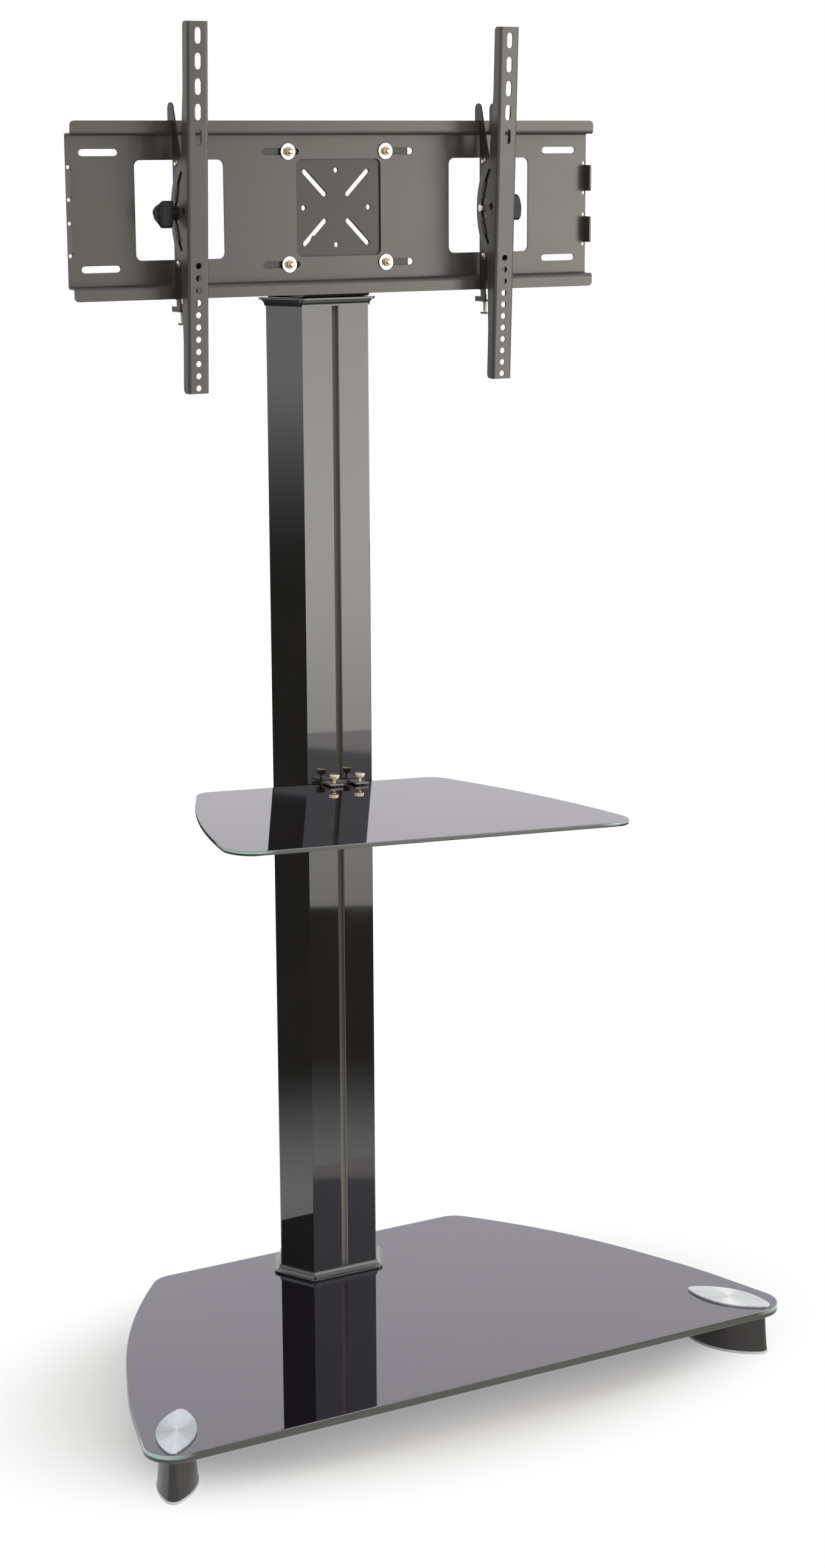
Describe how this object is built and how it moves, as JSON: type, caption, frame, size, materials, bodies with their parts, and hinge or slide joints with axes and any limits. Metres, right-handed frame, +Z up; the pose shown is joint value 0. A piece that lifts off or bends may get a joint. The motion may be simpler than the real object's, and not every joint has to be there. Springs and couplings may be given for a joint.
{
  "type": "television floor stand",
  "caption": "Television floor stand: tilting universal bracket on a hollow column with a clamped glass shelf and a broad glass base.",
  "frame": {"origin": "on the floor, below the middle of the column's front face", "axes": "+Z up, -Y to the front where the television faces, +X to the right seen from the front"},
  "size_m": [0.9992, 0.549, 1.8718],
  "materials": {
    "base_glass": "back-painted glass with a polished edge",
    "shelf_glass": "back-painted glass with a polished edge",
    "column_black": "high gloss black coat",
    "collar_black": "gloss black",
    "bracket_black": "semi-gloss black powder coat",
    "knob_black": "moulded black",
    "foot_black": "satin black",
    "brushed_aluminium": "radially brushed",
    "zinc": "bright zinc plate",
    "brass": "brass plate",
    "pale_pad": "pale moulding",
    "rubber": "matt"
  },
  "bodies": {
    "stand": {"base_glass": "base_glass", "foot_cap_left": "brushed_aluminium", "foot_cap_right": "brushed_aluminium", "foot_gasket_left": "pale_pad", "foot_gasket_right": "pale_pad", "front_foot_left": "foot_black", "front_foot_right": "foot_black", "foot_pad_left": "pale_pad", "foot_pad_right": "pale_pad", "foot_stud_left": "zinc", "foot_stud_right": "zinc", "rear_foot": "foot_black", "rear_foot_pad": "pale_pad", "column_bolt_1": "zinc", "column_bolt_2": "zinc", "column_bolt_3": "zinc", "column_bolt_4": "zinc", "column": "column_black", "lower_collar": "collar_black", "upper_collar": "collar_black", "head_bracket": "bracket_black", "head_screw_1": "zinc", "head_screw_2": "zinc", "head_screw_3": "zinc", "head_screw_4": "zinc", "plate_bolt_1": "zinc", "plate_bolt_2": "zinc", "plate_bolt_3": "zinc", "plate_bolt_4": "zinc", "plate_washer_1": "zinc", "plate_washer_2": "zinc", "plate_washer_3": "zinc", "plate_washer_4": "zinc", "plate_nut_1": "zinc", "plate_nut_2": "zinc", "plate_nut_3": "zinc", "plate_nut_4": "zinc"},
    "wall_plate": {"wall_plate": "bracket_black"},
    "hook_left": {"hook_bracket_left": "bracket_black", "spacer_rivet_left_top": "brass", "spacer_rivet_left_bottom": "brass", "tilt_bolt_left": "zinc"},
    "hook_right": {"hook_bracket_right": "bracket_black", "spacer_rivet_right_top": "brass", "spacer_rivet_right_bottom": "brass", "tilt_bolt_right": "zinc"},
    "arm_left": {"arm_left": "bracket_black"},
    "arm_right": {"arm_right": "bracket_black"},
    "knob_left": {"tilt_knob_left": "knob_black"},
    "knob_right": {"tilt_knob_right": "knob_black"},
    "safety_left": {"safety_screw_left": "zinc"},
    "safety_right": {"safety_screw_right": "zinc"},
    "shelf": {"shelf_glass": "shelf_glass", "shelf_bracket": "bracket_black", "shelf_pad_left": "rubber", "shelf_pad_right": "rubber", "shelf_slide_bolt": "zinc", "shelf_slide_nut": "zinc"},
    "shelf_screw_left": {"shelf_screw_left": "brass"},
    "shelf_screw_right": {"shelf_screw_right": "brass"}
  },
  "joints": [
    {"name": "plate_shift", "type": "slide", "parent": "stand", "child": "wall_plate", "axis": [1, 0, 0], "range_m": [-0.012, 0.008]},
    {"name": "hook_slide_left", "type": "slide", "parent": "wall_plate", "child": "hook_left", "axis": [1, 0, 0], "range_m": [-0.1, 0.12]},
    {"name": "hook_slide_right", "type": "slide", "parent": "wall_plate", "child": "hook_right", "axis": [1, 0, 0], "range_m": [-0.12, 0.12]},
    {"name": "arm_tilt_left", "type": "hinge", "parent": "hook_left", "child": "arm_left", "pos_m": [-0.2415, -0.118, 1.6285], "axis": [1, 0, 0], "range_deg": [-9, 5]},
    {"name": "arm_tilt_right", "type": "hinge", "parent": "hook_right", "child": "arm_right", "pos_m": [0.2275, -0.118, 1.6285], "axis": [1, 0, 0], "range_deg": [-9, 5]},
    {"name": "knob_turn_left", "type": "hinge", "parent": "hook_left", "child": "knob_left", "pos_m": [-0.2568, -0.041, 1.6285], "axis": [-1, 0, 0], "range_deg": [0, 540]},
    {"name": "knob_turn_right", "type": "hinge", "parent": "hook_right", "child": "knob_right", "pos_m": [0.2428, -0.041, 1.6285], "axis": [1, 0, 0], "range_deg": [0, 540]},
    {"name": "safety_screw_lift_left", "type": "slide", "parent": "hook_left", "child": "safety_left", "axis": [0, 0, 1], "range_m": [0, 0.012]},
    {"name": "safety_screw_lift_right", "type": "slide", "parent": "hook_right", "child": "safety_right", "axis": [0, 0, 1], "range_m": [0, 0.012]},
    {"name": "shelf_height", "type": "slide", "parent": "stand", "child": "shelf", "axis": [0, 0, 1], "range_m": [-0.5, 0.45]},
    {"name": "shelf_screw_lift_left", "type": "slide", "parent": "shelf", "child": "shelf_screw_left", "axis": [0.0523, 0, 0.9986], "range_m": [0, 0.006]},
    {"name": "shelf_screw_lift_right", "type": "slide", "parent": "shelf", "child": "shelf_screw_right", "axis": [0.0523, 0, 0.9986], "range_m": [0, 0.006]}
  ]
}
